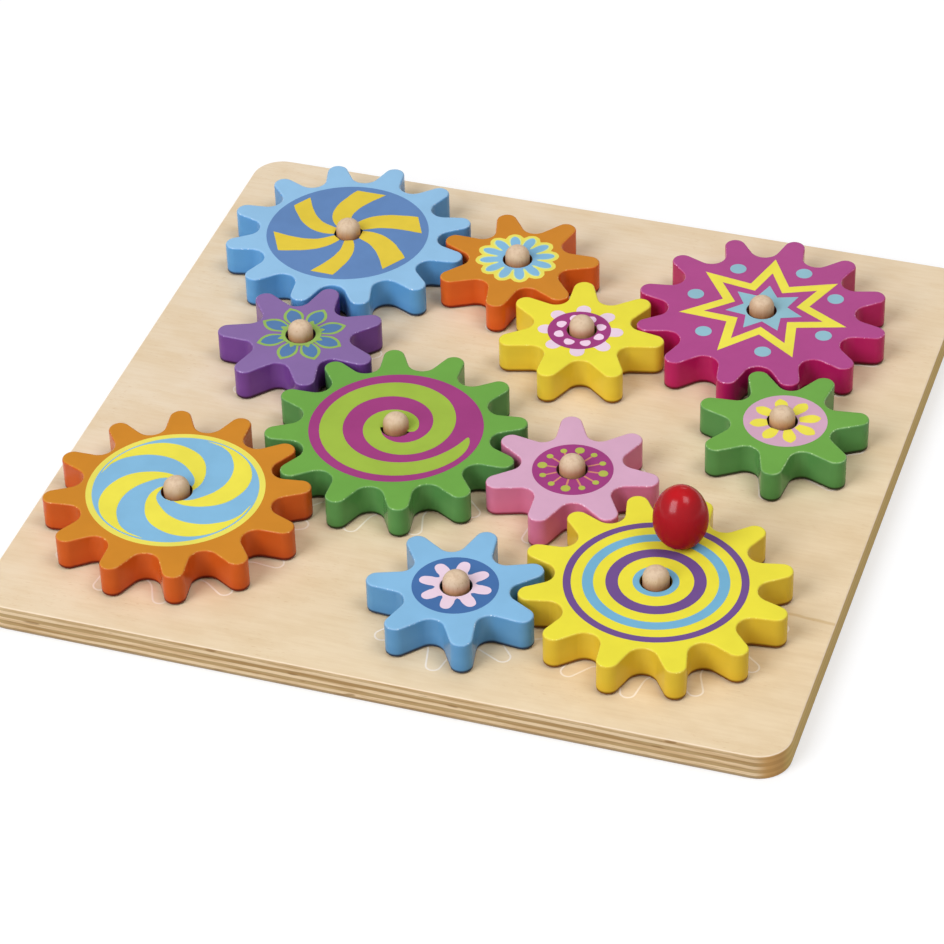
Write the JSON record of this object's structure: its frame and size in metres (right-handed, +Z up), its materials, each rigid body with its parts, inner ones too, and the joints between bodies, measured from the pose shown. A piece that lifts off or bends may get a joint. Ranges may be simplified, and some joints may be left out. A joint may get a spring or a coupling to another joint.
{
  "type": "wooden crank gear toy",
  "caption": "Square plywood board with glued pegs, a meshed train of loose painted wooden gears on the pegs, and an egg-shaped knob on one gear that cranks the whole train.",
  "frame": {"origin": "centre of the board's underside", "axes": "+X along the board's front edge to the right, +Y to the board's back edge, +Z up through the board along the pegs"},
  "size_m": [0.3, 0.2998, 0.0482],
  "materials": {
    "plywood": "satin clear varnish",
    "bare_wood": "smooth bare",
    "yellow_paint": "gloss paint",
    "blue_paint": "gloss paint",
    "pink_paint": "gloss paint",
    "green_paint": "gloss paint",
    "orange_paint": "gloss paint",
    "purple_paint": "gloss paint",
    "magenta_paint": "gloss paint",
    "red_paint": "high gloss paint"
  },
  "bodies": {
    "base": {"board": "plywood", "peg_yellow_large": "bare_wood", "peg_blue_small": "bare_wood", "peg_pink_small": "bare_wood", "peg_green_large": "bare_wood", "peg_orange_large": "bare_wood", "peg_purple_small": "bare_wood", "peg_blue_large": "bare_wood", "peg_orange_small": "bare_wood", "peg_yellow_small": "bare_wood", "peg_magenta_large": "bare_wood", "peg_green_small": "bare_wood"},
    "gear_yellow_large": {"gear_yellow_large": "yellow_paint", "crank_knob": "red_paint", "crank_dowel": "bare_wood"},
    "gear_blue_small": {"gear_blue_small": "blue_paint"},
    "gear_pink_small": {"gear_pink_small": "pink_paint"},
    "gear_green_large": {"gear_green_large": "green_paint"},
    "gear_orange_large": {"gear_orange_large": "orange_paint"},
    "gear_purple_small": {"gear_purple_small": "purple_paint"},
    "gear_blue_large": {"gear_blue_large": "blue_paint"},
    "gear_orange_small": {"gear_orange_small": "orange_paint"},
    "gear_yellow_small": {"gear_yellow_small": "yellow_paint"},
    "gear_magenta_large": {"gear_magenta_large": "magenta_paint"},
    "gear_green_small": {"gear_green_small": "green_paint"}
  },
  "joints": [
    {"name": "turn_yellow_large", "type": "hinge", "parent": "base", "child": "gear_yellow_large", "pos_m": [0.08667, -0.08543, 0.0173], "axis": [0, 0, 1], "continuous": true},
    {"name": "turn_blue_small", "type": "hinge", "parent": "base", "child": "gear_blue_small", "pos_m": [0.0196, -0.10775, 0.0173], "axis": [0, 0, 1], "continuous": true},
    {"name": "turn_pink_small", "type": "hinge", "parent": "base", "child": "gear_pink_small", "pos_m": [0.03983, -0.0325, 0.0173], "axis": [0, 0, 1], "continuous": true},
    {"name": "turn_green_large", "type": "hinge", "parent": "base", "child": "gear_green_large", "pos_m": [-0.03061, -0.02658, 0.0173], "axis": [0, 0, 1], "continuous": true},
    {"name": "turn_orange_large", "type": "hinge", "parent": "base", "child": "gear_orange_large", "pos_m": [-0.09531, -0.08545, 0.0173], "axis": [0, 0, 1], "continuous": true},
    {"name": "turn_purple_small", "type": "hinge", "parent": "base", "child": "gear_purple_small", "pos_m": [-0.08499, 0.01857, 0.0173], "axis": [0, 0, 1], "continuous": true},
    {"name": "turn_blue_large", "type": "hinge", "parent": "base", "child": "gear_blue_large", "pos_m": [-0.09029, 0.08905, 0.0173], "axis": [0, 0, 1], "continuous": true},
    {"name": "turn_orange_small", "type": "hinge", "parent": "base", "child": "gear_orange_small", "pos_m": [-0.01961, 0.08992, 0.0173], "axis": [0, 0, 1], "continuous": true},
    {"name": "turn_yellow_small", "type": "hinge", "parent": "base", "child": "gear_yellow_small", "pos_m": [0.01836, 0.05168, 0.0173], "axis": [0, 0, 1], "continuous": true},
    {"name": "turn_magenta_large", "type": "hinge", "parent": "base", "child": "gear_magenta_large", "pos_m": [0.08151, 0.08344, 0.0173], "axis": [0, 0, 1], "continuous": true},
    {"name": "turn_green_small", "type": "hinge", "parent": "base", "child": "gear_green_small", "pos_m": [0.1065, 0.01732, 0.0173], "axis": [0, 0, 1], "continuous": true}
  ],
  "couplings": [
    {"joint": "turn_blue_small", "follows": "turn_yellow_large", "ratio": -1.7143},
    {"joint": "turn_pink_small", "follows": "turn_yellow_large", "ratio": -1.7143},
    {"joint": "turn_green_large", "follows": "turn_yellow_large", "ratio": 1},
    {"joint": "turn_orange_large", "follows": "turn_yellow_large", "ratio": -1},
    {"joint": "turn_purple_small", "follows": "turn_yellow_large", "ratio": -1.7143},
    {"joint": "turn_blue_large", "follows": "turn_yellow_large", "ratio": 1},
    {"joint": "turn_orange_small", "follows": "turn_yellow_large", "ratio": -1.7143},
    {"joint": "turn_yellow_small", "follows": "turn_yellow_large", "ratio": 1.7143},
    {"joint": "turn_magenta_large", "follows": "turn_yellow_large", "ratio": -1},
    {"joint": "turn_green_small", "follows": "turn_yellow_large", "ratio": 1.7143}
  ]
}
